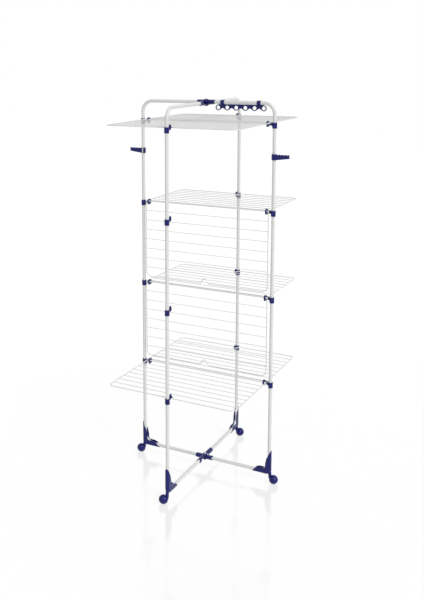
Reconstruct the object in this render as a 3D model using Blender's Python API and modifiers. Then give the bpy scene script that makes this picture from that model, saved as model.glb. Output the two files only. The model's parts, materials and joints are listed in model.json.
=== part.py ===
"""Tower clothes airer: two crossing tube hoops on castors, with hinged wire racks at four levels.

Metres, +Z up. The origin is on the floor, under the middle of the tower. The rack hoop stands in
the XZ plane and carries the racks. The catch hoop stands in the YZ plane, holds the outer edges of
the racks, and turns about the upright axis through the origin, so that the tower folds.
"""

import math

import bpy
import bmesh
from mathutils import Matrix, Vector

# Tubes and hoops
TUBE_RADIUS = 0.008
TUBE_WALL = 0.0008
RACK_HOOP_TOP = 1.760  # axis of the rack hoop's top run
RACK_HOOP_SPAN = 0.6528  # between the axes of its uprights
CATCH_HOOP_SPAN = 0.784
HOOP_STEP = 0.004  # between the two hoops' tube axes, where they cross
BEND_RADIUS = 0.050
PLASTIC_WALL = 0.0025  # of a fitting round a tube

# Racks
TOP_RACK_SHARE = 0.0507  # of the rack hoop's height, from its top down to the top racks
HANG_CLEARANCE_SHARES = (0.0121, 0.0155, 0.0179)  # the same, under each rack let down, from the top
HANGING_FRONT_RACKS = (2, 3)
HINGE_OFFSET = 0.009  # from the hoop's plane to a rack's hinge rod
RACK_END_INSET = 0.019  # from an upright's axis to a rack's side wire
RACK_CATCH_CLEARANCE = 0.0039  # from a rack's outer wire to a catch hoop upright
ROD_RADIUS = 0.0025
RIM_RADIUS = 0.0021
WIRE_RADIUS = 0.0015
INNER_WIRES = 7
RIM_CORNER_RADIUS = 0.025
NOTCH_WIDTH = 0.042
NOTCH_DEPTH = 0.024
NOTCH_TIP_RADIUS = 0.008
NOTCH_SHOULDER_RADIUS = 0.006

# Pivots
RACK_SLEEVE_LENGTH = 0.086
CATCH_SLEEVE_LENGTH = 0.144
RACK_TUBE_START = 0.030  # from the fold axis to the end of a rack hoop tube
CATCH_TUBE_START = 0.057
SLEEVE_SKIN = 0.0008  # of the rack hoop's sleeve, over its bore, where the other sleeve crosses
SLEEVE_NOTCH_RADIUS = 0.0065
SWEEP_START = 0.0045  # along the catch hoop's sleeve, at the near side of what folding sweeps
SWEEP_SLANT = 0.0075  # across it, where the slant meets the end of the sweep
PIVOT_BOSS_RADIUS = 0.0105
PIVOT_BOSS_HEIGHT = 0.0122
PIN_RADIUS = 0.004
PIN_HEAD_RADIUS = 0.008
PIN_HEAD_HEIGHT = 0.0025

# Castors
BALL_RADIUS = 0.0214
CASTOR_TRAIL = 0.017
HOUSING_RADIUS = 0.0206
WHEEL_CLEARANCE = 0.0005
STEM_RADIUS = 0.004
STEM_LENGTH = 0.014
STEM_OUTSET = 0.004  # from the upright's axis, outwards
NECK_TOP_RADIUS = 0.0075
NECK_FOOT_RADIUS = 0.0066
NECK_FOOT = 0.028  # the neck's lower end, inside the ball
AXLE_RADIUS = 0.003
AXLE_LENGTH = 0.024
CASTOR_YAW = {"left": 190, "right": 10, "front": 195, "back": 15}  # degrees, as they stand

# Feet, with heights from the axis of the tube's base run
FOOT_CLEARANCE = 0.0012  # over the castor's ball
FOOT_FLANGE = 0.0165  # from the tube's axis to the flanges' inner edges
FOOT_FLANGE_RADIUS = 0.010
FOOT_HEEL_RADIUS = 0.014
FOOT_TOP = 0.109
FOOT_TOP_SLOPE = 0.041  # from its tip down to the flanges' corners
FOOT_TOP_TAPER = 0.027
FOOT_REACH = 0.083
FOOT_REACH_SLOPE = 0.018
FOOT_REACH_TAPER = 0.014
FOOT_MOUTH = 0.0135  # of the channel that the tube snaps into
FOOT_BOSS_RADIUS = 0.0079  # of the socket's boss under the heel, at its lower end
FOOT_BOSS_TOP_RADIUS = 0.0061
FOOT_BOSS_TOP = 0.012

# Brackets and catches, both collars on an upright
COLLAR_RISE = 0.0025  # above the wires
COLLAR_DROP = 0.0225  # below them
BRACKET_STEM_WIDTH = 0.007
BRACKET_STEM_RISE = 0.0015
BRACKET_STEM_DROP = 0.018
BRACKET_HEAD_INSET = 0.027  # from the upright's axis
BRACKET_HEAD_THICKNESS = 0.007
BRACKET_HEAD_RISE = 0.009
BRACKET_HEAD_WAIST = 0.009  # its widest part goes this far below the rods
BRACKET_HEAD_DROP = 0.0165
BRACKET_HEAD_CAP = 0.007  # width of its top edge
BRACKET_HEAD_FOOT = 0.017
LUG_MARGIN = 0.0018  # round a hinge rod's hole
ROD_OVERHANG = 0.003  # of a hinge rod, past the side wire's axis
FINGER_WIDTH = 0.008
FINGER_RISE = 0.0015
FINGER_DROP = 0.017
NOSE_RISE = 0.0125
NOSE_SHOULDER = 0.006
NOSE_DROP = 0.012
NOSE_TIP_RADIUS = 0.003
LIP_REACH = 0.0016  # under the wire
LIP_THICKNESS = 0.0015

# Hanger arms, with heights from the middle of their collars
ARM_SHARE = 0.619  # of the way from the third racks up to the top ones
ARM_REACH = 0.0685
ARM_THICKNESS = 0.008
ARM_COLLAR_HEIGHT = 0.026
ARM_COLLAR_WALL = 0.0035
ARM_MOUTH = 0.010
ARM_TOP = 0.0085
ARM_TIP_BOTTOM = -0.005
ARM_BUMP_HEIGHT = 0.003
ARM_BUMPS = 4

# Peg rail
RING_RADIUS = 0.013
RING_HOLE_RADIUS = 0.0088
RINGS = 6
RAIL_START_GAP = 0.0036  # from the rack hoop's sleeve to the first ring
RAIL_END_INSET = 0.0508  # from the upright's axis to the last ring's centre
RAIL_DROP = 0.0235  # from the tube's axis to the rings' centres
RAIL_THICKNESS = 0.004
RAIL_WEB_THICKNESS = 0.003
RAIL_WEB_HEIGHT = 0.0035
RAIL_PANEL_THICKNESS = 0.0016
RAIL_RIB_WIDTH = 0.0028
RAIL_RIB_ANGLE = math.radians(52)  # where the ribs leave the rings
RAIL_CLIP_RADIUS = 0.0105
RAIL_CLIP_LENGTH = 0.017
RAIL_CLIP_MOUTH = 0.010

# Fits and mesh
SEAT_GAP = 0.0003  # between pieces that touch
OVERRUN = 0.004  # of a cutter past what it cuts
TUBE_SIDES = 12
WIRE_SIDES = 6
ROD_SIDES = 8
BALL_STEPS = 20
ROUND_STEPS = 16
NOSE_STEPS = 12
BEND_STEPS = 6  # to a quarter turn of a tube
WIRE_BEND_STEPS = 3  # to a quarter turn of a wire or a small edge
MERGE = 0.00001
SMOOTH_ANGLE = math.radians(40)

# Worked out from the sizes above
RACK_RADIUS = RACK_HOOP_SPAN / 2
CATCH_RADIUS = CATCH_HOOP_SPAN / 2
BORE_RADIUS = TUBE_RADIUS + SEAT_GAP
FITTING_RADIUS = BORE_RADIUS + PLASTIC_WALL
FOOT_BOTTOM = 2 * BALL_RADIUS + FOOT_CLEARANCE
RACK_HOOP_BASE = FOOT_BOTTOM + FITTING_RADIUS
CATCH_HOOP_BASE = RACK_HOOP_BASE + HOOP_STEP
CATCH_HOOP_TOP = RACK_HOOP_TOP - HOOP_STEP
RACK_HALF_LENGTH = RACK_RADIUS - RACK_END_INSET
EDGE_INSET = TUBE_RADIUS + RACK_CATCH_CLEARANCE + RIM_RADIUS  # outer wire to catch upright's axis
RACK_REACH = CATCH_RADIUS - EDGE_INSET - HINGE_OFFSET
WIRE_PITCH = RACK_REACH / (INNER_WIRES + 1)
FIRST_RING = RACK_SLEEVE_LENGTH / 2 + RAIL_START_GAP + RING_RADIUS
RING_PITCH = (RACK_RADIUS - RAIL_END_INSET - FIRST_RING) / (RINGS - 1)

# Which way each upright lies from the middle, in degrees
RACK_SIDES = {"left": 180, "right": 0}
CATCH_SIDES = {"front": -90, "back": 90}


def clear_scene():
    for found in list(bpy.data.objects):
        bpy.data.objects.remove(found)


def collection(name):
    made = bpy.data.collections.new(name)
    bpy.context.scene.collection.children.link(made)
    return made


def material(name, colour, roughness, metallic=0.0):
    made = bpy.data.materials.new(name)
    made.use_nodes = True
    shader = made.node_tree.nodes["Principled BSDF"]
    shader.inputs["Base Color"].default_value = (*colour, 1)
    shader.inputs["Roughness"].default_value = roughness
    shader.inputs["Metallic"].default_value = metallic
    made.diffuse_color = (*colour, 1)
    return made


def helper(name, data):
    """An object that only shapes others: out of the render, and drawn as wire."""
    made = bpy.data.objects.new(name, data)
    bpy.data.collections["cutters"].objects.link(made)
    made.hide_render = True
    made.display_type = "WIRE"
    return made


def evaluated_mesh(source, name):
    """The object's mesh with its modifiers applied."""
    bpy.context.view_layer.update()
    graph = bpy.context.evaluated_depsgraph_get()
    made = bpy.data.meshes.new_from_object(source.evaluated_get(graph), depsgraph=graph)
    made.name = name
    return made


def weld(mesh):
    shape = bmesh.new()
    shape.from_mesh(mesh)
    bmesh.ops.remove_doubles(shape, verts=shape.verts, dist=MERGE)
    bmesh.ops.recalc_face_normals(shape, faces=shape.faces)
    shape.to_mesh(mesh)
    shape.free()


def rounded_path(corners, steps=BEND_STEPS):
    """Points along a path of (point, radius) corners, each inner corner turned into an arc.

    The steps are to a quarter turn, and each arc gets an even number of them.
    """
    points = [Vector(corners[0][0])]
    for before, here, after in zip(corners, corners[1:], corners[2:]):
        corner, radius = Vector(here[0]), here[1]
        back = (Vector(before[0]) - corner).normalized()
        ahead = (Vector(after[0]) - corner).normalized()
        half = back.angle(ahead) / 2
        turn = math.pi - 2 * half
        centre = corner + (back + ahead).normalized() * radius / math.sin(half)
        start = corner + back * radius / math.tan(half) - centre
        axis = ahead.cross(back).normalized()
        count = 2 * max(1, round(steps * turn / math.pi))
        for i in range(count + 1):
            points.append(centre + Matrix.Rotation(turn * i / count, 3, axis) @ start)
    points.append(Vector(corners[-1][0]))
    return points


def swept(name, points, radius, sides, caps=True):
    """A round bar along the points, as a mesh object."""
    curve = bpy.data.curves.new(name, "CURVE")
    curve.dimensions = "3D"
    curve.bevel_depth = radius
    curve.bevel_resolution = sides // 2 - 2
    curve.use_fill_caps = caps
    spline = curve.splines.new("POLY")
    spline.points.add(len(points) - 1)
    for spot, point in zip(spline.points, points):
        spot.co = (*point, 1)
    carrier = helper(name, curve)
    mesh = evaluated_mesh(carrier, name)
    bpy.data.objects.remove(carrier)
    bpy.data.curves.remove(curve)
    if caps:
        weld(mesh)
    return helper(name, mesh)


def flat_plate(name, outline, thickness):
    """A plate standing in the XZ plane, from an outline of (x, z) points, centred on Y."""
    curve = bpy.data.curves.new(name, "CURVE")
    curve.dimensions = "2D"
    curve.fill_mode = "BOTH"
    curve.extrude = thickness / 2
    spline = curve.splines.new("POLY")
    spline.points.add(len(outline) - 1)
    for spot, (x, z) in zip(spline.points, outline):
        spot.co = (x, z, 0, 1)
    spline.use_cyclic_u = True
    carrier = helper(name, curve)
    mesh = evaluated_mesh(carrier, name)
    bpy.data.objects.remove(carrier)
    bpy.data.curves.remove(curve)
    mesh.transform(Matrix.Rotation(math.pi / 2, 4, "X"))
    weld(mesh)
    return helper(name, mesh)


def cylinder(name, radius, start, end, sides=ROUND_STEPS):
    """A cylinder from one point to another."""
    start, end = Vector(start), Vector(end)
    shape = bmesh.new()
    bmesh.ops.create_cone(
        shape, cap_ends=True, segments=sides, radius1=radius, radius2=radius, depth=(end - start).length
    )
    turn = (end - start).to_track_quat("Z", "Y").to_matrix().to_4x4()
    shape.transform(Matrix.Translation((start + end) / 2) @ turn)
    mesh = bpy.data.meshes.new(name)
    shape.to_mesh(mesh)
    shape.free()
    return helper(name, mesh)


def box(name, low, high):
    low, high = Vector(low), Vector(high)
    shape = bmesh.new()
    bmesh.ops.create_cube(shape, size=1)
    shape.transform(Matrix.Translation((low + high) / 2) @ Matrix.Diagonal((*(high - low), 1)))
    mesh = bpy.data.meshes.new(name)
    shape.to_mesh(mesh)
    shape.free()
    return helper(name, mesh)


def turned(name, profile, steps=ROUND_STEPS):
    """A shape turned about Z from (radius, height) points that run down its outer side."""
    mesh = bpy.data.meshes.new(name)
    points = [(radius, 0, height) for radius, height in profile]
    mesh.from_pydata(points, [(i, i + 1) for i in range(len(points) - 1)], [])
    guide = helper(name, mesh)
    screw = guide.modifiers.new("turn", "SCREW")
    screw.steps = steps
    screw.render_steps = steps
    screw.use_merge_vertices = True
    screw.merge_threshold = MERGE
    made = helper(name, evaluated_mesh(guide, name))
    bpy.data.objects.remove(guide)
    weld(made.data)
    return made


def combine(piece, other, operation):
    step = piece.modifiers.new(other.name, "BOOLEAN")
    step.operation = operation
    step.object = other
    step.solver = "EXACT"


def add(piece, *others):
    for other in others:
        combine(piece, other, "UNION")


def cut(piece, *cutters):
    for cutter in cutters:
        combine(piece, cutter, "DIFFERENCE")


def move(piece, matrix):
    piece.data.transform(matrix)
    return piece


def finished(piece, look):
    """The piece's final mesh, shaded and coloured. The piece itself stays as a helper."""
    mesh = evaluated_mesh(piece, piece.name)
    mesh.materials.clear()
    mesh.materials.append(look)
    mesh.shade_smooth()
    mesh.set_sharp_from_angle(angle=SMOOTH_ANGLE)
    bpy.data.objects.remove(piece)
    return mesh


def place(name, mesh, parent, position=(0, 0, 0), rotation=(0, 0, 0)):
    """A part of the airer. Its rotation is in degrees."""
    made = bpy.data.objects.new(name, mesh)
    bpy.data.collections["tower clothes airer"].objects.link(made)
    made.location = position
    made.rotation_euler = [math.radians(angle) for angle in rotation]
    made.parent = parent
    return made


def pivot(name, position=(0, 0, 0), parent=None):
    """An empty on the axis that its pieces turn about."""
    made = bpy.data.objects.new(name, None)
    bpy.data.collections["tower clothes airer"].objects.link(made)
    made.location = position
    made.parent = parent
    return made


def spot(radius, side_angle, height=0):
    """The point that lies at this radius from the fold axis, on the side at this angle."""
    angle = math.radians(side_angle)
    return Vector((radius * math.cos(angle), radius * math.sin(angle), height))


def rack_levels():
    """The racks' heights, bottom to top. A rack let down hangs clear of the one below."""
    height = RACK_HOOP_TOP - RACK_HOOP_BASE
    levels = [RACK_HOOP_TOP - height * TOP_RACK_SHARE]
    for share in HANG_CLEARANCE_SHARES:
        levels.append(levels[-1] - RACK_REACH - height * share)
    return levels[::-1]


def hoop_corners(start, radius, top, base):
    """The axis of half a hoop, whose outwards is +X: from the top pivot round to the base pivot."""
    return [
        ((start, 0, top), 0),
        ((radius, 0, top), BEND_RADIUS),
        ((radius, 0, base), BEND_RADIUS),
        ((start, 0, base), 0),
    ]


def hoop_tube(name, corners, look):
    tube = swept(name, rounded_path(corners), TUBE_RADIUS, TUBE_SIDES, caps=False)
    wall = tube.modifiers.new("wall", "SOLIDIFY")
    wall.thickness = TUBE_WALL
    wall.offset = -1
    wall.use_even_offset = True
    return finished(tube, look)


def sweep_outline(fold_side):
    """Where the rack hoop's sleeve and tubes pass under the catch hoop's sleeve, as the tower folds.

    The catch hoop's sleeve lies along X. Folding one way, they sweep past two of its quarters only.
    """
    wide, end = FITTING_RADIUS + OVERRUN, CATCH_TUBE_START - PLASTIC_WALL
    half = [(SWEEP_START, -wide), (end, SWEEP_SLANT), (end, wide)]
    outline = half + [(-x, -y) for x, y in half]
    return [(x, y * fold_side) for x, y in outline]


def pivot_sleeve(name, length, tube_start, flat_depth, flat_outline, fork_axis, look):
    """A sleeve along X that joins two tubes. Its flat, underneath, faces the other hoop's sleeve.

    Its -X end is forked by a notch across it, along the fork axis.
    """
    wide = FITTING_RADIUS + OVERRUN
    deep = wide + OVERRUN - flat_depth
    sleeve = cylinder(name, FITTING_RADIUS, (-length / 2, 0, 0), (length / 2, 0, 0))
    add(sleeve, cylinder(name + " boss", PIVOT_BOSS_RADIUS, (0, 0, -wide), (0, 0, PIVOT_BOSS_HEIGHT)))
    for side in (-1, 1):
        near, far = side * (tube_start - SEAT_GAP), side * (length / 2 + OVERRUN)
        cut(sleeve, swept(name + " bore", [(near, 0, 0), (far, 0, 0)], BORE_RADIUS, TUBE_SIDES))
    end, across = Vector((-length / 2, 0, 0)), Vector(fork_axis) * (wide + OVERRUN)
    cut(sleeve, cylinder(name + " notch", SLEEVE_NOTCH_RADIUS, end - across, end + across))
    high = PIVOT_BOSS_HEIGHT + OVERRUN
    cut(sleeve, cylinder(name + " pin hole", PIN_RADIUS + SEAT_GAP, (0, 0, -wide), (0, 0, high)))
    flat = flat_plate(name + " flat", flat_outline, deep)
    move(flat, Matrix.Rotation(-math.pi / 2, 4, "X"))
    cut(sleeve, move(flat, Matrix.Translation((0, 0, -flat_depth - deep / 2))))
    return finished(sleeve, look)


def pivot_pin(look):
    """A rivet through both sleeves, standing on the far face of the catch hoop's boss."""
    grip = 2 * PIVOT_BOSS_HEIGHT + HOOP_STEP + 2 * SEAT_GAP
    head, shank = PIN_HEAD_RADIUS, PIN_RADIUS
    crown = head - PIN_HEAD_HEIGHT / 2
    profile = [
        (0, grip + PIN_HEAD_HEIGHT),
        (crown, grip + PIN_HEAD_HEIGHT),
        (head, grip + PIN_HEAD_HEIGHT / 2),
        (head, grip),
        (shank, grip),
        (shank, 0),
        (head, 0),
        (head, -PIN_HEAD_HEIGHT / 2),
        (crown, -PIN_HEAD_HEIGHT),
        (0, -PIN_HEAD_HEIGHT),
    ]
    return finished(turned("pivot pin", profile), look)


def notch_corner_depth():
    """Where the V's straight sides would meet, for its rounded tip to end at the notch's depth."""
    across, tip = NOTCH_WIDTH / 2, NOTCH_TIP_RADIUS
    centre = NOTCH_DEPTH - tip
    spread = 1 - (tip / across) ** 2
    return (centre + math.sqrt(centre**2 - spread * (centre**2 - tip**2))) / spread


def rack(look):
    """A rack that hinges about X and reaches along +Y, with a V for the catch in its outer wire."""
    side, reach = RACK_HALF_LENGTH, RACK_REACH
    rod_end = side + ROD_OVERHANG
    rim = rounded_path(
        [
            ((-side, 0, 0), 0),
            ((-side, reach, 0), RIM_CORNER_RADIUS),
            ((-NOTCH_WIDTH / 2, reach, 0), NOTCH_SHOULDER_RADIUS),
            ((0, reach - notch_corner_depth(), 0), NOTCH_TIP_RADIUS),
            ((NOTCH_WIDTH / 2, reach, 0), NOTCH_SHOULDER_RADIUS),
            ((side, reach, 0), RIM_CORNER_RADIUS),
            ((side, 0, 0), 0),
        ],
        WIRE_BEND_STEPS,
    )
    frame = swept("rack", [(-rod_end, 0, 0), (rod_end, 0, 0)], ROD_RADIUS, ROD_SIDES)
    add(frame, swept("rack rim", rim, RIM_RADIUS, WIRE_SIDES))
    for i in range(1, INNER_WIRES + 1):
        y = WIRE_PITCH * i
        add(frame, swept("rack wire", [(-side, y, 0), (side, y, 0)], WIRE_RADIUS, WIRE_SIDES))
    return finished(frame, look)


def collar(name, radius, rise, drop):
    return cylinder(name, radius, (0, 0, -drop), (0, 0, rise))


def upright_bore(name, rise, drop):
    return swept(name + " bore", [(0, 0, -drop - OVERRUN), (0, 0, rise + OVERRUN)], BORE_RADIUS, TUBE_SIDES)


def rack_bracket(look):
    """A collar with a stem towards the middle, whose upright head holds two hinge rods."""
    bracket = collar("rack bracket", FITTING_RADIUS, COLLAR_RISE, COLLAR_DROP)
    seat = ROD_RADIUS + SEAT_GAP
    lug = seat + LUG_MARGIN
    far, near = BRACKET_HEAD_INSET + BRACKET_HEAD_THICKNESS, BRACKET_HEAD_INSET
    middle = -(near + far) / 2
    stem = [(0, BRACKET_STEM_RISE), (0, -BRACKET_STEM_DROP), (middle, -lug), (middle, BRACKET_STEM_RISE)]
    add(bracket, flat_plate("bracket stem", stem, BRACKET_STEM_WIDTH))
    cap, wide, narrow = BRACKET_HEAD_CAP / 2, HINGE_OFFSET + lug, BRACKET_HEAD_FOOT / 2
    half = [
        (cap, BRACKET_HEAD_RISE),
        (wide, lug / 2),
        (wide, -BRACKET_HEAD_WAIST),
        (narrow, -BRACKET_HEAD_DROP),
    ]
    face = half + [(-across, height) for across, height in half[::-1]]
    head = flat_plate("bracket head", face, BRACKET_HEAD_THICKNESS)
    add(bracket, move(head, Matrix.Translation((middle, 0, 0)) @ Matrix.Rotation(math.pi / 2, 4, "Z")))
    cut(bracket, upright_bore("rack bracket", COLLAR_RISE, COLLAR_DROP))
    for y in (-HINGE_OFFSET, HINGE_OFFSET):
        hole = [(-near + OVERRUN, y, 0), (-far - OVERRUN, y, 0)]
        cut(bracket, swept("rod hole", hole, seat, ROD_SIDES))
    return finished(bracket, look)


def rack_catch(look):
    """A collar with a finger towards the middle, whose nose fills the V and whose lip holds it up."""
    catch = collar("catch", FITTING_RADIUS, COLLAR_RISE, COLLAR_DROP)
    nose = -(EDGE_INSET + NOTCH_DEPTH - NOTCH_TIP_RADIUS)
    room = NOTCH_TIP_RADIUS - RIM_RADIUS
    nose_radius = room - 2 * SEAT_GAP
    lip_top = -(RIM_RADIUS + SEAT_GAP)
    lip_bottom = lip_top - LIP_THICKNESS
    finger = [(0, FINGER_RISE), (0, -FINGER_DROP), (nose, (lip_top + lip_bottom) / 2), (nose, 0)]
    add(catch, flat_plate("finger", finger, FINGER_WIDTH))
    profile = [
        (0, NOSE_RISE),
        (NOSE_TIP_RADIUS, NOSE_RISE),
        (nose_radius, NOSE_SHOULDER),
        (nose_radius, lip_top),
        (room + LIP_REACH, lip_top),
        (room + LIP_REACH, lip_bottom),
        (nose_radius, lip_bottom),
        (NOSE_TIP_RADIUS, -NOSE_DROP),
        (0, -NOSE_DROP),
    ]
    add(catch, move(turned("nose", profile, NOSE_STEPS), Matrix.Translation((nose, 0, 0))))
    cut(catch, upright_bore("catch", COLLAR_RISE, COLLAR_DROP))
    return finished(catch, look)


def foot(look):
    """A channel that snaps onto a hoop's lower bend from outside. Outwards is +X.

    Its origin is where the axes of the upright and of the base run would meet.
    """
    outer, flange = FITTING_RADIUS, FOOT_FLANGE
    high, far = FOOT_TOP + OVERRUN, FOOT_REACH + OVERRUN
    spine = [((0, 0, high), 0), ((0, 0, 0), FOOT_HEEL_RADIUS), ((-far, 0, 0), 0)]
    made = swept("hoop foot", rounded_path(spine), outer, ROUND_STEPS)
    inner = [(-flange, high), (0, high), (0, 0), (-far, 0), (-far, flange)]
    corner = [((-far, 0, flange), 0), ((-flange, 0, flange), FOOT_FLANGE_RADIUS), ((-flange, 0, high), 0)]
    inner += [(point.x, point.z) for point in rounded_path(corner, WIRE_BEND_STEPS)[1:-1]]
    add(made, flat_plate("foot flanges", inner, 2 * outer - SEAT_GAP))
    boss = [
        (0, FOOT_BOSS_TOP),
        (FOOT_BOSS_TOP_RADIUS, FOOT_BOSS_TOP),
        (FOOT_BOSS_RADIUS, -outer),
        (0, -outer),
    ]
    add(made, move(turned("stem boss", boss), Matrix.Translation((STEM_OUTSET, 0, 0))))
    wide = 2 * (outer + OVERRUN)
    past = FOOT_REACH + 2 * OVERRUN
    top_end = [
        (outer + OVERRUN, FOOT_TOP),
        (outer, FOOT_TOP),
        (-outer, FOOT_TOP - FOOT_TOP_SLOPE),
        (-flange, FOOT_TOP - FOOT_TOP_SLOPE - FOOT_TOP_TAPER),
        (-flange - OVERRUN, FOOT_TOP - FOOT_TOP_SLOPE - FOOT_TOP_TAPER),
        (-flange - OVERRUN, FOOT_TOP + 2 * OVERRUN),
        (outer + OVERRUN, FOOT_TOP + 2 * OVERRUN),
    ]
    arm_end = [
        (-FOOT_REACH, -outer - OVERRUN),
        (-FOOT_REACH, -outer),
        (-FOOT_REACH + FOOT_REACH_SLOPE, outer),
        (-FOOT_REACH + FOOT_REACH_SLOPE + FOOT_REACH_TAPER, flange),
        (-FOOT_REACH + FOOT_REACH_SLOPE + FOOT_REACH_TAPER, flange + OVERRUN),
        (-past, flange + OVERRUN),
        (-past, -outer - OVERRUN),
    ]
    cut(made, flat_plate("foot top end", top_end, wide), flat_plate("foot arm end", arm_end, wide))
    bend = [((0, 0, 2 * high), 0), ((0, 0, 0), BEND_RADIUS), ((-2 * far, 0, 0), 0)]
    axis = rounded_path(bend)
    cut(made, swept("foot tube space", axis, BORE_RADIUS, TUBE_SIDES))
    mouth = [(point.x, point.z) for point in axis] + [(-2 * far, 2 * high)]
    cut(made, flat_plate("foot mouth", mouth, FOOT_MOUTH))
    socket = [(STEM_OUTSET, 0, -outer - OVERRUN), (STEM_OUTSET, 0, STEM_LENGTH - outer + SEAT_GAP)]
    cut(made, cylinder("stem socket", STEM_RADIUS + SEAT_GAP, *socket))
    return finished(made, look)


def half_ball(name, radius, face, bore_depth):
    """A half ball with a blind axle hole in its face, bulging along +Y from that face."""
    bore = AXLE_RADIUS + SEAT_GAP
    quarter = BALL_STEPS // 4
    profile = []
    for i in range(quarter + 1):
        angle = math.pi / 2 * i / quarter
        profile.append((radius * math.sin(angle), radius * math.cos(angle)))
    profile += [(bore, 0), (bore, bore_depth), (0, bore_depth)]
    made = turned(name, profile, BALL_STEPS)
    return move(made, Matrix.Translation((0, face, 0)) @ Matrix.Rotation(-math.pi / 2, 4, "X"))


def castor_wheel(look):
    """The wheel half of the ball, about an axle along Y through the origin."""
    return finished(half_ball("castor wheel", BALL_RADIUS, SEAT_GAP / 2, AXLE_LENGTH / 2), look)


def castor_axle(look):
    half = AXLE_LENGTH / 2 - SEAT_GAP
    return finished(cylinder("castor axle", AXLE_RADIUS, (0, -half, 0), (0, half, 0)), look)


def castor_housing(look, seat):
    """The fixed half of the ball, with its neck up to the seat and its stem on Z. It trails to +X."""
    housing = half_ball("castor housing", HOUSING_RADIUS, SEAT_GAP / 2, AXLE_LENGTH / 2)
    move(housing, Matrix.Translation((CASTOR_TRAIL, 0, BALL_RADIUS)) @ Matrix.Rotation(math.pi, 4, "Z"))
    neck = [
        (0, seat - SEAT_GAP),
        (NECK_TOP_RADIUS, seat - SEAT_GAP),
        (NECK_FOOT_RADIUS, NECK_FOOT),
        (0, NECK_FOOT),
    ]
    add(housing, turned("neck", neck))
    add(housing, cylinder("stem", STEM_RADIUS, (0, 0, NECK_FOOT + OVERRUN), (0, 0, seat + STEM_LENGTH)))
    room = BALL_RADIUS + WHEEL_CLEARANCE
    quarter = BALL_STEPS // 4
    profile = []
    for i in range(quarter + 1):
        angle = math.pi / 2 * i / quarter
        profile.append((room * math.sin(angle), room * math.cos(angle)))
    profile.append((0, 0))
    space = turned("wheel space", profile, BALL_STEPS)
    turn = Matrix.Rotation(-math.pi / 2, 4, "X")
    move(space, Matrix.Translation((CASTOR_TRAIL, -SEAT_GAP / 2, BALL_RADIUS)) @ turn)
    cut(housing, space)
    return finished(housing, look)


def hanger_arm(look):
    """A clip that turns on an upright, open to +Y, with a notched arm for coat hangers along +X."""
    half = ARM_COLLAR_HEIGHT / 2
    around = BORE_RADIUS + ARM_COLLAR_WALL
    arm = collar("hanger arm", around, half, half)
    pitch = (ARM_REACH - around) / ARM_BUMPS
    crest = ARM_TOP + ARM_BUMP_HEIGHT
    bump_share, dip_share = 0.4, 0.7
    outline = [(ARM_REACH, ARM_TIP_BOTTOM), (ARM_REACH, crest)]
    for i in range(ARM_BUMPS):
        right = ARM_REACH - pitch * i
        outline.append((right - pitch * bump_share, crest))
        outline.append((right - pitch * dip_share, ARM_TOP))
        outline.append((right - pitch, crest))
    outline += [(0, crest), (0, SEAT_GAP - half), (around, SEAT_GAP - half)]
    add(arm, flat_plate("hanger arm blade", outline, ARM_THICKNESS))
    cut(arm, upright_bore("hanger arm", half, half))
    mouth, reach = ARM_MOUTH / 2, around + OVERRUN
    cut(arm, box("hanger arm mouth", (-mouth, 0, -half - OVERRUN), (mouth, reach, half + OVERRUN)))
    return finished(arm, look)


def rail_strip(start, end, width, thickness):
    """A flat bar of the peg rail from one (x, z) point to another."""
    start, end = Vector(start), Vector(end)
    side = (end - start).orthogonal().normalized() * width / 2
    outline = [start + side, end + side, end - side, start - side]
    return flat_plate("rail strip", outline, thickness)


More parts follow.
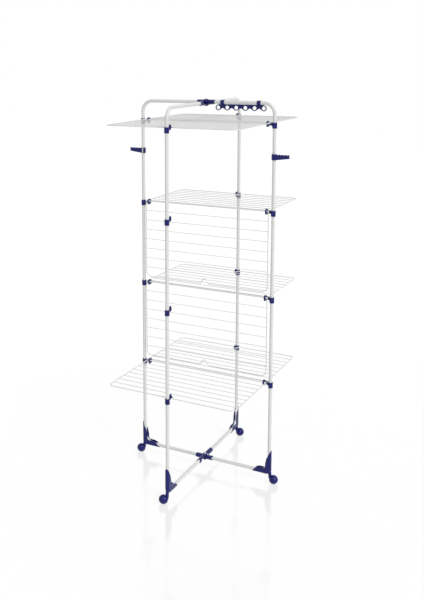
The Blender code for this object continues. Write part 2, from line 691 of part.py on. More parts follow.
def peg_rail(look):
    """Six rings joined by panels with crossed ribs, and two clips over a tube. The tube's axis is X."""
    ring_xs = [FIRST_RING + RING_PITCH * i for i in range(RINGS)]
    half, deep = RAIL_THICKNESS / 2, RAIL_THICKNESS / 2 + OVERRUN
    web_top = -(BORE_RADIUS + SEAT_GAP)
    middle = (RING_RADIUS + RING_HOLE_RADIUS) / 2
    across, up = middle * math.cos(RAIL_RIB_ANGLE), middle * math.sin(RAIL_RIB_ANGLE)
    bar = web_top - RAIL_WEB_HEIGHT / 2
    rail = rail_strip((ring_xs[0], bar), (ring_xs[-1], bar), RAIL_WEB_HEIGHT, RAIL_WEB_THICKNESS)
    ribs = (up, RAIL_WEB_THICKNESS - SEAT_GAP), (-up, RAIL_WEB_THICKNESS - 2 * SEAT_GAP)
    for left, right in zip(ring_xs, ring_xs[1:]):
        near, far, low = left + across, right - across, -RAIL_DROP - up
        panel = [(near, bar), (near, low), ((left + right) / 2, -RAIL_DROP), (far, low), (far, bar)]
        add(rail, flat_plate("rail panel", panel, RAIL_PANEL_THICKNESS))
        for rise, thickness in ribs:
            start, end = (near, -RAIL_DROP + rise), (far, -RAIL_DROP - rise)
            add(rail, rail_strip(start, end, RAIL_RIB_WIDTH, thickness))
    for x in ring_xs:
        add(rail, cylinder("ring", RING_RADIUS, (x, -half, -RAIL_DROP), (x, half, -RAIL_DROP)))
    clip_xs = [(ring_xs[0] + ring_xs[1]) / 2, (ring_xs[-2] + ring_xs[-1]) / 2]
    clip_half = RAIL_CLIP_LENGTH / 2
    tip = RAIL_RIB_WIDTH / 4 - RAIL_DROP  # in the crossed ribs, off their centre
    for x in clip_xs:
        add(rail, cylinder("clip", RAIL_CLIP_RADIUS, (x - clip_half, 0, 0), (x + clip_half, 0, 0)))
        gusset = [(x - clip_half, web_top - SEAT_GAP), (x, tip), (x + clip_half, web_top - SEAT_GAP)]
        add(rail, flat_plate("gusset", gusset, RAIL_THICKNESS))
    bend = [((0, 0, 0), 0), ((RACK_RADIUS, 0, 0), BEND_RADIUS), ((RACK_RADIUS, 0, -2 * BEND_RADIUS), 0)]
    cut(rail, swept("tube space", rounded_path(bend), BORE_RADIUS, TUBE_SIDES))
    mouth = RAIL_CLIP_MOUTH / 2
    cut(rail, box("clip mouth", (ring_xs[0], 0, -mouth), (ring_xs[-1], RAIL_CLIP_RADIUS + OVERRUN, mouth)))
    for x in ring_xs:
        hole = ((x, -deep, -RAIL_DROP), (x, deep, -RAIL_DROP))
        cut(rail, cylinder("ring hole", RING_HOLE_RADIUS, *hole))
    return finished(rail, look)


def build_hoops(enamel, plastic, steel, tower, catch_hoop):
    """Both hoops with their feet and pivots."""
    kinds = (
        ("rack", RACK_SIDES, RACK_RADIUS, RACK_HOOP_TOP, RACK_HOOP_BASE, RACK_TUBE_START, tower),
        ("catch", CATCH_SIDES, CATCH_RADIUS, CATCH_HOOP_TOP, CATCH_HOOP_BASE, CATCH_TUBE_START, catch_hoop),
    )
    shoe = foot(plastic)
    for kind, sides, radius, top, base, start, parent in kinds:
        tube = hoop_tube(kind + " hoop tube", hoop_corners(start, radius, top, base), enamel)
        for side, angle in sides.items():
            place(f"{kind}_hoop_tube_{side}", tube, parent, rotation=(0, 0, angle))
            place(f"foot_{side}", shoe, parent, spot(radius, angle, base), (0, 0, angle))
    rack_flat = BORE_RADIUS + SLEEVE_SKIN
    far = RACK_SLEEVE_LENGTH
    whole = [(-far, -far), (far, -far), (far, far), (-far, far)]
    rack_sleeve = pivot_sleeve(
        "rack sleeve", RACK_SLEEVE_LENGTH, RACK_TUBE_START, rack_flat, whole, (0, 1, 0), plastic
    )
    catch_flat = HOOP_STEP - rack_flat - SEAT_GAP
    catch_sizes = CATCH_SLEEVE_LENGTH, CATCH_TUBE_START, catch_flat
    top_sleeve = pivot_sleeve("top catch sleeve", *catch_sizes, sweep_outline(-1), (0, 0, 1), plastic)
    base_sleeve = pivot_sleeve("base catch sleeve", *catch_sizes, sweep_outline(1), (0, 0, 1), plastic)
    pin = pivot_pin(steel)
    place("top_pivot_rack_sleeve", rack_sleeve, tower, (0, 0, RACK_HOOP_TOP))
    place("top_pivot_catch_sleeve", top_sleeve, catch_hoop, (0, 0, CATCH_HOOP_TOP), (180, 0, 90))
    place("base_pivot_rack_sleeve", rack_sleeve, tower, (0, 0, RACK_HOOP_BASE), (0, 180, 0))
    place("base_pivot_catch_sleeve", base_sleeve, catch_hoop, (0, 0, CATCH_HOOP_BASE), (0, 0, 90))
    pin_drop = PIVOT_BOSS_HEIGHT + SEAT_GAP
    place("top_pivot_pin", pin, tower, (0, 0, CATCH_HOOP_TOP - pin_drop))
    place("base_pivot_pin", pin, tower, (0, 0, RACK_HOOP_BASE - pin_drop))


def build_racks(enamel, plastic, tower, catch_hoop):
    """The racks, the brackets that they hinge in and the catches that hold their outer wires."""
    bracket, catch, grid = rack_bracket(plastic), rack_catch(plastic), rack(enamel)
    for level, height in enumerate(rack_levels(), 1):
        for side, angle in RACK_SIDES.items():
            where = spot(RACK_RADIUS, angle, height)
            place(f"rack_bracket_{side}_{level}", bracket, tower, where, (0, 0, angle))
        for side, angle in CATCH_SIDES.items():
            where = spot(CATCH_RADIUS, angle, height)
            place(f"catch_{side}_{level}", catch, catch_hoop, where, (0, 0, angle))
            hinge = pivot(f"hinge_{side}_{level}", spot(HINGE_OFFSET, angle, height), tower)
            hangs = side == "front" and level in HANGING_FRONT_RACKS
            turn = (-90 if hangs else 0, 0, angle - CATCH_SIDES["back"])
            place(f"rack_{side}_{level}", grid, hinge, rotation=turn)


def build_castors(plastic, steel, tower, catch_hoop):
    wheel, axle = castor_wheel(plastic), castor_axle(steel)
    hoops = (
        (RACK_SIDES, RACK_RADIUS, castor_housing(plastic, FOOT_BOTTOM), tower),
        (CATCH_SIDES, CATCH_RADIUS, castor_housing(plastic, FOOT_BOTTOM + HOOP_STEP), catch_hoop),
    )
    for sides, radius, housing, parent in hoops:
        for side, angle in sides.items():
            swivel = pivot(f"castor_swivel_{side}", spot(radius + STEM_OUTSET, angle), parent)
            swivel.rotation_euler.z = math.radians(CASTOR_YAW[side])
            place(f"castor_housing_{side}", housing, swivel)
            place(f"castor_wheel_{side}", wheel, swivel, (CASTOR_TRAIL, 0, BALL_RADIUS))
            place(f"castor_axle_{side}", axle, swivel, (CASTOR_TRAIL, 0, BALL_RADIUS))


def build_hangers(plastic, tower):
    arm = hanger_arm(plastic)
    below, above = rack_levels()[-2:]
    height = below + (above - below) * ARM_SHARE
    for side, angle in RACK_SIDES.items():
        place(f"hanger_arm_{side}", arm, tower, spot(RACK_RADIUS, angle, height), (0, 0, angle))
    place("peg_rail", peg_rail(plastic), tower, (0, 0, RACK_HOOP_TOP))


def main():
    clear_scene()
    collection("tower clothes airer")
    collection("cutters")
    enamel = material("white enamelled steel", (0.86, 0.86, 0.85), 0.35)
    plastic = material("blue plastic", (0.020, 0.019, 0.19), 0.32)
    steel = material("zinc plated steel", (0.6, 0.6, 0.58), 0.35, 1.0)
    tower = pivot("tower")
    catch_hoop = pivot("catch_hoop_fold", parent=tower)
    build_hoops(enamel, plastic, steel, tower, catch_hoop)
    build_racks(enamel, plastic, tower, catch_hoop)
    build_castors(plastic, steel, tower, catch_hoop)
    build_hangers(plastic, tower)


main()
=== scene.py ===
"""The looks of the tower clothes airer, built round its packed solids. Metres, +Z up.

Each piece takes the place of one solid, lies where that solid lies and moves with its body. The
axles stay as they are, since the halves of each castor hide them, and get the plated finish.
"""

import json
import math

import bmesh
import bpy
from bpy.props import FloatProperty, FloatVectorProperty, IntProperty, PointerProperty, StringProperty
from mathutils import Euler, Matrix, Vector

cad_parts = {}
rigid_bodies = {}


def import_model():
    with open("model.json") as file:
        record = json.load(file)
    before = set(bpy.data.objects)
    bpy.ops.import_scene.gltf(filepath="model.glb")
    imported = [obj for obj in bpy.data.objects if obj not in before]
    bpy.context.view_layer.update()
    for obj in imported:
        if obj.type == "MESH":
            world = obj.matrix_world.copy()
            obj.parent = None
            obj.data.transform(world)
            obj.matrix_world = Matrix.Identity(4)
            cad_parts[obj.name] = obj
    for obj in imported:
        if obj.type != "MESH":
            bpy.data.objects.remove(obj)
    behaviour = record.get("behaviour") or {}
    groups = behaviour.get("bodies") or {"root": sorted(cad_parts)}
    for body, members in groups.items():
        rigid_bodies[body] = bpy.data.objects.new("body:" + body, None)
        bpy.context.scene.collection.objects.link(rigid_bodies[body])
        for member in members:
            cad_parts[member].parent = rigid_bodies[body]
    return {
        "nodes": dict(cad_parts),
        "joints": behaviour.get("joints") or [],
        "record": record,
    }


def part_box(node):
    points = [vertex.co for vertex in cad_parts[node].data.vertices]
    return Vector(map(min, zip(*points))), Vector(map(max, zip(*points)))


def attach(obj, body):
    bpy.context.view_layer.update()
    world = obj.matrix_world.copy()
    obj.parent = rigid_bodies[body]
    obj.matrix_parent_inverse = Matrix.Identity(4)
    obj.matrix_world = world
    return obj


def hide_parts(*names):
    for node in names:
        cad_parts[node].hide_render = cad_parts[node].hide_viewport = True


bl_info = {
    "name": "Tower clothes airer",
    "version": (1, 0, 0),
    "blender": (4, 5, 0),
    "location": "View3D > Sidebar > Airer",
    "description": "Dresses the packed solids of a folding tower airer",
    "category": "Object",
}

for leftover in list(bpy.data.objects):
    bpy.data.objects.remove(leftover)
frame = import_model()

JOINTS = {joint["name"]: joint for joint in frame["joints"]}
BODY_OF = {node: body for body, nodes in frame["record"]["behaviour"]["bodies"].items() for node in nodes}

# Read off the frame
TUBE_RADIUS = 0.008
RACK_LOW, RACK_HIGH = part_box("rack_hoop_tube_right")
CATCH_LOW, CATCH_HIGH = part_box("catch_hoop_tube_back")
RACK_RADIUS = RACK_HIGH.x - TUBE_RADIUS
CATCH_RADIUS = CATCH_HIGH.y - TUBE_RADIUS
RACK_BASE = RACK_LOW.z + TUBE_RADIUS
RACK_TOP = RACK_HIGH.z - TUBE_RADIUS
CATCH_BASE = CATCH_LOW.z + TUBE_RADIUS
CATCH_TOP = CATCH_HIGH.z - TUBE_RADIUS
RACK_TUBE_START = RACK_LOW.x
CATCH_TUBE_START = CATCH_LOW.y
LEVELS = [JOINTS[f"rack_back_{level}_hinge"]["pos_m"][2] for level in range(1, 5)]
ARM_HEIGHT = JOINTS["hanger_arm_right_swivel"]["pos_m"][2]
HINGE_OFFSET = JOINTS["rack_back_1_hinge"]["pos_m"][1]
HANGING = {name for name, joint in JOINTS.items() if joint.get("range_deg") == [-90, 0]}
HOOP_STEP = RACK_TOP - CATCH_TOP
BALL_HEIGHT = JOINTS["castor_roll_left"]["pos_m"][2]
BALL_RADIUS = BALL_HEIGHT - 0.0003

# Fittings, as the solids have them
SEAT_GAP = 0.0003
PLASTIC_WALL = 0.0025
BORE_RADIUS = TUBE_RADIUS + SEAT_GAP
FITTING_RADIUS = BORE_RADIUS + PLASTIC_WALL
OVERRUN = 0.004
ROUND = 40  # sides of a moulded round
ROUND_BALL = 56  # sides of a castor
BEND = 20  # steps to a quarter turn of a moulded bend
SIDES = {"left": 180, "right": 0, "front": -90, "back": 90}  # where each upright lies, in degrees


def number(name, description, default, unit="LENGTH"):
    return FloatProperty(name=name, description=description, default=default, unit=unit)


def colour(name, description, default):
    return StringProperty(name=name, description=description, default=default)


class AirerTubes(bpy.types.PropertyGroup):
    """Sizes of the bent tubes."""

    radius: number("Tube radius", "Outside the hoops' tube", TUBE_RADIUS)
    bend_radius: number("Bend radius", "At the tube's axis", 0.050)
    sides: IntProperty(name="Sides", description="Faces round the tube", default=36, min=12)
    bend_steps: IntProperty(name="Bend steps", description="Faces along a quarter turn", default=20, min=4)


class AirerRacks(bpy.types.PropertyGroup):
    """Sizes of the welded wire racks."""

    rod_radius: number("Rod radius", "Of the rod that a rack hinges on", 0.0025)
    rim_radius: number("Rim radius", "Of the bent outer wire", 0.0021)
    wire_radius: number("Wire radius", "Of the wires that the washing lies on", 0.0015)
    bead_radius: number("Bead radius", "Of the weld at each wire's end", 0.0024)
    inner_wires: IntProperty(name="Wires", description="Between the rod and the outer wire", default=7, min=1)
    rod_overhang: number("Rod overhang", "Of the rod past the side wires", 0.003)
    corner_radius: number("Corner radius", "Of the outer wire's corners", 0.025)
    notch_width: number("V width", "Of the V that goes round an upright", 0.042)
    notch_depth: number("V depth", "At the wire's axis", 0.024)
    notch_tip_radius: number("V tip radius", "At the wire's axis", 0.008)
    notch_shoulder_radius: number("V shoulder radius", "At the wire's axis", 0.006)


class AirerFinish(bpy.types.PropertyGroup):
    """Colours of the finishes, as sRGB hex values."""

    enamel: colour("Enamel", "Of tubes and racks", "#E9EAE8")
    enamel_thin: colour("Thin enamel", "Where the coat flowed thinner", "#DEDFDD")
    plastic: colour("Plastic", "Of every moulding", "#171B6E")
    plastic_flow: colour("Plastic flow", "Streaks where the plastic met the mould first", "#11155C")
    # The paler edge tone is partly wear from handling and partly a painted highlight.
    plastic_edge_wear_and_highlight: colour("Plastic edge", "Edges that hands and washing have polished", "#2E348C")
    zinc: colour("Zinc", "Of pins and axles", "#B9BBBC")
    zinc_grain: colour("Zinc grain", "Darker crystals", "#A3A6A8")
    floor: colour("Floor", "Of the pale floor", "#F7F7F7")


class AirerStage(bpy.types.PropertyGroup):
    """The camera at the photograph's angle, the lamps and the floor."""

    eye: FloatVectorProperty(
        name="Eye", description="Where the camera stands", default=(1.6241, -3.54751, 1.97766),
        subtype="TRANSLATION", unit="LENGTH",
    )
    azimuth: number("Azimuth", "Turned from looking along +Y", 0.53005, "ROTATION")
    pitch: number("Pitch", "Below level", 0.15238, "ROTATION")
    roll: number("Roll", "About the line of sight", -0.01107, "ROTATION")
    focal: number("Focal length", "In pixels of the photograph", 855.194, "NONE")
    axis_pixel: FloatVectorProperty(
        name="Axis pixel", description="Where the line of sight meets the picture", size=2, default=(120, 185)
    )
    picture: FloatVectorProperty(
        name="Picture", description="The photograph's size in pixels", size=2, default=(424, 600)
    )
    key: number("Key", "Strength of the main lamp", 1.75, "NONE")
    key_size: number("Key size", "Angle that the lamp fills", math.radians(24), "ROTATION")
    room: number("Room", "Strength of the light from all round", 0.42, "NONE")
    floor_half: number("Floor", "Half the floor's side", 14.0)


def linear(code):
    """An sRGB hex colour as linear RGBA."""
    channels = [int(code[i : i + 2], 16) / 255 for i in (1, 3, 5)]
    return (*[c / 12.92 if c <= 0.04045 else ((c + 0.055) / 1.055) ** 2.4 for c in channels], 1.0)


def add_node(tree, kind, inputs=None, **settings):
    """A node with its settings, and its inputs set to values or linked to other nodes' sockets."""
    made = tree.nodes.new(kind)
    for name, value in settings.items():
        setattr(made, name, value)
    for key, value in (inputs or {}).items():
        if isinstance(value, bpy.types.NodeSocket):
            tree.links.new(value, made.inputs[key])
        else:
            made.inputs[key].default_value = value
    return made


def new_material(name, **sockets):
    """A material with a Principled shader, and the object coordinates that its patterns read."""
    made = bpy.data.materials.new(name)
    made.use_nodes = True
    shader = made.node_tree.nodes["Principled BSDF"]
    for key, value in sockets.items():
        shader.inputs[key.replace("_", " ")].default_value = value
    where = made.node_tree.nodes.new("ShaderNodeTexCoord").outputs["Object"]
    return made, made.node_tree, shader, where


def noise(tree, where, size, detail, **more):
    """Noise with features of about the given size."""
    inputs = {"Vector": where, "Scale": 1 / size, "Detail": detail, **more}
    return add_node(tree, "ShaderNodeTexNoise", inputs).outputs["Fac"]


def blend(tree, factor, first, second):
    """A colour between two others."""
    inputs = {"Factor": factor, "A": first, "B": second}
    return add_node(tree, "ShaderNodeMix", inputs, data_type="RGBA").outputs["Result"]


def spread(tree, value, target, source=(0.0, 1.0), **settings):
    """The value, taken from the source range to the target range."""
    keys = "From Min", "From Max", "To Min", "To Max"
    inputs = {"Value": value, **dict(zip(keys, (*source, *target)))}
    return add_node(tree, "ShaderNodeMapRange", inputs, **settings).outputs["Result"]


def relief(tree, height, strength, depth):
    """The normals of a surface with small bumps."""
    inputs = {"Height": height, "Strength": strength, "Distance": depth}
    return add_node(tree, "ShaderNodeBump", inputs).outputs["Normal"]


def maths(tree, operation, first, second):
    return add_node(tree, "ShaderNodeMath", {0: first, 1: second}, operation=operation).outputs["Value"]


def feed(tree, shader, **sources):
    """Links patterns to the shader's sockets."""
    for socket, source in sources.items():
        tree.links.new(source, shader.inputs[socket.replace("_", " ")])


def stoved_enamel(finish):
    """Powder enamel stoved onto steel. The eye sees satin white, with a wide soft sheen, since the
    powder melts into a coat with low waves, and greys faintly where the coat drew thin."""
    name = "Stoved powder enamel on steel"
    if name in bpy.data.materials:
        return bpy.data.materials[name]
    made, tree, shader, where = new_material(name, IOR=1.5, Coat_Weight=0.1, Coat_Roughness=0.12)
    # The coat's thickness drifts over 40 mm. Orange peel is 1.5 mm across on the real coat and
    # drawn at 2.5 mm, so that it shows.
    drift_size, peel_size, peel_depth = 0.040, 0.0025, 0.00012
    drift = noise(tree, where, drift_size, detail=2.0)
    tone = blend(tree, drift, linear(finish.enamel), linear(finish.enamel_thin))
    peel = noise(tree, where, peel_size, detail=1.0)
    peel = relief(tree, peel, strength=0.25, depth=peel_depth)
    feed(tree, shader, Base_Color=tone, Normal=peel, Roughness=spread(tree, drift, (0.26, 0.40)))
    return made


def moulded_polypropylene(finish):
    """Polypropylene, injection moulded in a lightly spark-eroded tool. The eye sees deep blue with a
    broad half gloss and faint flow streaks. Its edges are painted paler, partly as wear from handling
    and partly as a painted highlight where edges catch the light."""
    name = "Moulded polypropylene"
    if name in bpy.data.materials:
        return bpy.data.materials[name]
    made, tree, shader, where = new_material(name, IOR=1.49, Specular_IOR_Level=0.28)
    # Flow streaks are 3 mm wide and four times as long. The tool's grain is 0.1 mm, drawn at
    # 0.5 mm, the finest that a close view shows.
    streak_size, streak_squeeze, grain_size, grain_depth = 0.003, 0.25, 0.0005, 0.00005
    # Pointy edges are painted paler, partly as wear and partly as a painted highlight.
    edge_pointiness, edge_wear_and_highlight = (0.515, 0.56), (0.0, 0.6)
    stretched = add_node(tree, "ShaderNodeMapping", {"Vector": where, "Scale": (1, 1, streak_squeeze)})
    flow = noise(tree, stretched.outputs["Vector"], streak_size, detail=3.0, Distortion=0.6)
    body = blend(tree, flow, linear(finish.plastic), linear(finish.plastic_flow))
    # Painted highlight, mixed with wear: the pointier the edge, the paler its tone.
    edges = add_node(tree, "ShaderNodeNewGeometry").outputs["Pointiness"]
    worn_and_highlit = spread(tree, edges, edge_wear_and_highlight, edge_pointiness)
    tone = blend(tree, worn_and_highlit, body, linear(finish.plastic_edge_wear_and_highlight))
    grain = noise(tree, where, grain_size, detail=2.0)
    grain = relief(tree, grain, strength=0.2, depth=grain_depth)
    feed(tree, shader, Base_Color=tone, Normal=grain, Roughness=spread(tree, flow, (0.22, 0.33)))
    return made


def zinc_plate(finish):
    """Bright zinc plated on turned steel. The eye sees a pale grey metal with fine crystals and the
    faint rings of the lathe."""
    name = "Zinc plated steel"
    if name in bpy.data.materials:
        return bpy.data.materials[name]
    made, tree, shader, where = new_material(name, Metallic=1.0)
    # Crystals of 1 mm. Lathe rings are finer than 0.5 mm and drawn 2.5 mm apart: the wave node
    # turns by 20 radians to a unit of its scale.
    crystal_size, ring_scale, ring_depth = 0.001, 125, 0.00003
    crystal = add_node(tree, "ShaderNodeTexVoronoi", {"Vector": where, "Scale": 1 / crystal_size})
    grains = crystal.outputs["Distance"]
    tone = blend(tree, grains, linear(finish.zinc), linear(finish.zinc_grain))
    inputs = {"Vector": where, "Scale": ring_scale, "Distortion": 1.0}
    rings = add_node(tree, "ShaderNodeTexWave", inputs, wave_type="RINGS", rings_direction="Z")
    turning = relief(tree, rings.outputs["Fac"], strength=0.2, depth=ring_depth)
    feed(tree, shader, Base_Color=tone, Normal=turning, Roughness=spread(tree, grains, (0.25, 0.38)))
    return made


def link(name, data):
    made = bpy.data.objects.new(name, data)
    bpy.context.scene.collection.objects.link(made)
    return made


def baked(source, name):
    """The object's mesh with its modifiers applied. The object goes."""
    bpy.context.view_layer.update()
    graph = bpy.context.evaluated_depsgraph_get()
    made = bpy.data.meshes.new_from_object(source.evaluated_get(graph), depsgraph=graph)
    made.name = name
    bpy.data.objects.remove(source)
    return made


def seat(mesh, name, node, place=None):
    """Puts a copy of the mesh in the place of a solid: it shows and moves instead of that solid."""
    own = mesh.copy()
    own.name = name
    if place is not None:
        own.transform(place)
    piece = link(name, own)
    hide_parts(node)
    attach(piece, BODY_OF[node])


def placed(position=(0, 0, 0), rotation=(0, 0, 0)):
    """The matrix that puts a piece at a position, turned by degrees."""
    turn = Euler([math.radians(angle) for angle in rotation])
    return Matrix.LocRotScale(Vector(position), turn, None)


def at_upright(side, height, radius=None):
    """The matrix of a fitting on an upright, whose outwards is +X."""
    if radius is None:
        radius = RACK_RADIUS if side in ("left", "right") else CATCH_RADIUS
    angle = math.radians(SIDES[side])
    return placed((radius * math.cos(angle), radius * math.sin(angle), height), (0, 0, SIDES[side]))


def rounded_path(corners, steps=BEND):
    """Points along a path of (point, radius) corners, each inner corner turned into an arc."""
    points = [Vector(corners[0][0])]
    for before, here, after in zip(corners, corners[1:], corners[2:]):
        corner, radius = Vector(here[0]), here[1]
        back = (Vector(before[0]) - corner).normalized()
        ahead = (Vector(after[0]) - corner).normalized()
        half = back.angle(ahead) / 2
        turn = math.pi - 2 * half
        centre = corner + (back + ahead).normalized() * radius / math.sin(half)
        start = corner + back * radius / math.tan(half) - centre
        axis = ahead.cross(back).normalized()
        count = 2 * max(1, round(steps * turn / math.pi))
        for i in range(count + 1):
            points.append(centre + Matrix.Rotation(turn * i / count, 3, axis) @ start)
    points.append(Vector(corners[-1][0]))
    return points


def path_mesh(name, points):
    mesh = bpy.data.meshes.new(name)
    mesh.from_pydata(points, [(i, i + 1) for i in range(len(points) - 1)], [])
    return mesh


def closed(name, shape):
    """A closed mesh object from a bmesh, which it frees."""
    bmesh.ops.remove_doubles(shape, verts=shape.verts, dist=0.00001)
    bmesh.ops.recalc_face_normals(shape, faces=shape.faces)
    mesh = bpy.data.meshes.new(name)
    shape.to_mesh(mesh)
    shape.free()
    return link(name, mesh)


def curved(name, points, cyclic, **settings):
    """The mesh of a curve through the points, with the curve's settings, as a bmesh."""
    curve = bpy.data.curves.new(name, "CURVE")
    for key, value in settings.items():
        setattr(curve, key, value)
    spline = curve.splines.new("POLY")
    spline.points.add(len(points) - 1)
    for knot, point in zip(spline.points, points):
        knot.co = (*point, 1)
    spline.use_cyclic_u = cyclic
    shape = bmesh.new()
    shape.from_mesh(baked(link(name, curve), name))
    return shape


def swept(name, points, radius, sides=ROUND):
    """A round bar along the points."""
    bevel = {"bevel_depth": radius, "bevel_resolution": sides // 2 - 2, "use_fill_caps": True}
    return closed(name, curved(name, points, False, dimensions="3D", **bevel))


def plate(name, outline, thickness):
    """A plate standing in the XZ plane, from an outline of (x, z) points, centred on Y."""
    points = [(x, z, 0) for x, z in outline]
    shape = curved(name, points, True, dimensions="2D", fill_mode="BOTH", extrude=thickness / 2)
    shape.transform(Matrix.Rotation(math.pi / 2, 4, "X"))
    return closed(name, shape)


def bar(name, radius, start, end, sides=ROUND):
    """A cylinder from one point to another."""
    start, end = Vector(start), Vector(end)
    shape = bmesh.new()
    bmesh.ops.create_cone(
        shape, cap_ends=True, segments=sides, radius1=radius, radius2=radius, depth=(end - start).length
    )
    turn = (end - start).to_track_quat("Z", "Y").to_matrix().to_4x4()
    shape.transform(Matrix.Translation((start + end) / 2) @ turn)
    return closed(name, shape)


def block(name, low, high):
    low, high = Vector(low), Vector(high)
    shape = bmesh.new()
    bmesh.ops.create_cube(shape, size=1)
    shape.transform(Matrix.Translation((low + high) / 2) @ Matrix.Diagonal((*(high - low), 1)))
    return closed(name, shape)


def turned(name, profile, steps=ROUND, place=None):
    """A shape turned about Z from (radius, height) points that run from pole to pole."""
    shape = bmesh.new()
    knots = [shape.verts.new((radius, 0, height)) for radius, height in profile]
    edges = [shape.edges.new(pair) for pair in zip(knots, knots[1:])]
    bmesh.ops.spin(
        shape, geom=knots + edges, axis=(0, 0, 1), cent=(0, 0, 0), angle=2 * math.pi, steps=steps
    )
    if place is not None:
        shape.transform(place)
    return closed(name, shape)


def combine(piece, operation, others):
    """Adds or cuts other shapes, which then go."""
    for other in others:
        step = piece.modifiers.new(other.name, "BOOLEAN")
        step.operation = operation
        step.object = other
        step.solver = "EXACT"
    mesh = baked(piece, piece.name)
    for other in others:
        bpy.data.objects.remove(other)
    return link(mesh.name, mesh)


def moulded(piece, finish, grain, keep, rounds=6):
    """The plastic mesh with a mould's soft edges. The grain is the remeshed faces' size."""
    remesh = piece.modifiers.new("skin", "REMESH")
    remesh.mode = "VOXEL"
    remesh.voxel_size = grain
    soften = piece.modifiers.new("soft edges", "SMOOTH")
    soften.factor = 0.5
    soften.iterations = rounds
    thin = piece.modifiers.new("fewer faces", "DECIMATE")
    thin.ratio = keep
    mesh = baked(piece, piece.name)
    mesh.shade_smooth()
    mesh.materials.clear()
    mesh.materials.append(moulded_polypropylene(finish))
    return mesh


def crisp(piece, degrees, look):
    """The shape's mesh, smooth but for edges sharper than the angle."""
    mesh = baked(piece, piece.name)
    mesh.shade_smooth()
    mesh.set_sharp_from_angle(angle=math.radians(degrees))
    mesh.materials.append(look)
    return mesh


def seat_levels(mesh, name, node, sides):
    """Seats a fitting at each level of the uprights on the sides."""
    for level, height in enumerate(LEVELS, 1):
        for side in sides:
            place = at_upright(side, height)
            seat(mesh, f"{name}_{side}_{level}", f"{node}_{side}_{level}", place)


def new_tree(name, **sockets):
    """An empty geometry tree with named inputs, its input node and its output node."""
    tree = bpy.data.node_groups.new(name, "GeometryNodeTree")
    tree.interface.new_socket("Geometry", in_out="INPUT", socket_type="NodeSocketGeometry")
    for socket, kind in sockets.items():
        tree.interface.new_socket(socket.replace("_", " "), in_out="INPUT", socket_type="NodeSocket" + kind)
    tree.interface.new_socket("Geometry", in_out="OUTPUT", socket_type="NodeSocketGeometry")
    return tree, tree.nodes.new("NodeGroupInput").outputs, tree.nodes.new("NodeGroupOutput")


def round_bar(tree, curve, radius, sides):
    """A closed round bar along a curve."""
    ring = add_node(tree, "GeometryNodeCurvePrimitiveCircle", {"Resolution": sides, "Radius": radius})
    inputs = {"Curve": curve, "Profile Curve": ring.outputs["Curve"], "Fill Caps": True}
    return add_node(tree, "GeometryNodeCurveToMesh", inputs).outputs["Mesh"]


def end_tree(tree, geometry, material, out):
    """Ends a tree in real geometry with its material."""
    real = add_node(tree, "GeometryNodeRealizeInstances", {"Geometry": geometry}).outputs["Geometry"]
    look = add_node(tree, "GeometryNodeSetMaterial", {"Geometry": real, "Material": material})
    tree.links.new(look.outputs["Geometry"], out.inputs["Geometry"])
    return tree


def grown(name, mesh, tree, values):
    """The mesh that a geometry tree makes of another mesh, with its inputs set to the values."""
    carrier = link(name, mesh)
    step = carrier.modifiers.new(tree.name, "NODES")
    step.node_group = tree
    for item in tree.interface.items_tree:
        if item.in_out == "INPUT" and item.name in values:
            step[item.identifier] = values[item.name]
    made = baked(carrier, name)
    made.set_sharp_from_angle(angle=math.radians(50))
    return made


def tube_tree():
    """A closed round tube along a path."""
    tree, given, out = new_tree("Bent tube", Radius="Float", Sides="Int", Material="Material")
    path = add_node(tree, "GeometryNodeMeshToCurve", {"Mesh": given["Geometry"]}).outputs["Curve"]
    return end_tree(tree, round_bar(tree, path, given["Radius"], given["Sides"]), given["Material"], out)


def rack_tree():
    """A rack from the path of its outer wire: the rod, the wires across and a bead at each weld."""
    lengths = "Half_length", "Rod_half_length", "Pitch"
    radii = "Rod_radius", "Rim_radius", "Wire_radius", "Bead_radius"
    sockets = {**dict.fromkeys(lengths + radii, "Float"), "Wires": "Int", "Material": "Material"}
    tree, given, out = new_tree("Welded rack", **sockets)
    rim_sides, rod_sides, wire_sides, bead_sides, bead_rings = 16, 18, 12, 12, 8
    bead_squash = 1.3, 1.0, 0.85

    def across(half):
        start = add_node(tree, "ShaderNodeCombineXYZ", {"X": maths(tree, "MULTIPLY", half, -1.0)})
        end = add_node(tree, "ShaderNodeCombineXYZ", {"X": half})
        ends = start.outputs["Vector"], end.outputs["Vector"]
        line = add_node(tree, "GeometryNodeCurvePrimitiveLine", {"Start": ends[0], "End": ends[1]})
        return line.outputs["Curve"], ends

    def joined(*parts):
        join = add_node(tree, "GeometryNodeJoinGeometry")
        for part in parts:
            tree.links.new(part, join.inputs["Geometry"])
        return join.outputs["Geometry"]

    path = add_node(tree, "GeometryNodeMeshToCurve", {"Mesh": given["Geometry"]}).outputs["Curve"]
    rim = round_bar(tree, path, given["Rim radius"], rim_sides)
    rod = round_bar(tree, across(given["Rod half length"])[0], given["Rod radius"], rod_sides)
    line, ends = across(given["Half length"])
    sizes = {"Segments": bead_sides, "Rings": bead_rings, "Radius": given["Bead radius"]}
    bead = add_node(tree, "GeometryNodeMeshUVSphere", sizes).outputs["Mesh"]
    beads = []
    for end in ends:
        inputs = {"Geometry": bead, "Translation": end, "Scale": bead_squash}
        beads.append(add_node(tree, "GeometryNodeTransform", inputs).outputs["Geometry"])
    one = joined(round_bar(tree, line, given["Wire radius"], wire_sides), *beads)
    step = add_node(tree, "ShaderNodeCombineXYZ", {"Y": given["Pitch"]}).outputs["Vector"]
    places = {"Count": given["Wires"], "Start Location": step, "Offset": step}
    row = add_node(tree, "GeometryNodeMeshLine", places).outputs["Mesh"]
    wires = add_node(tree, "GeometryNodeInstanceOnPoints", {"Points": row, "Instance": one})
    whole = joined(rim, rod, wires.outputs["Instances"], *beads)
    return end_tree(tree, whole, given["Material"], out)


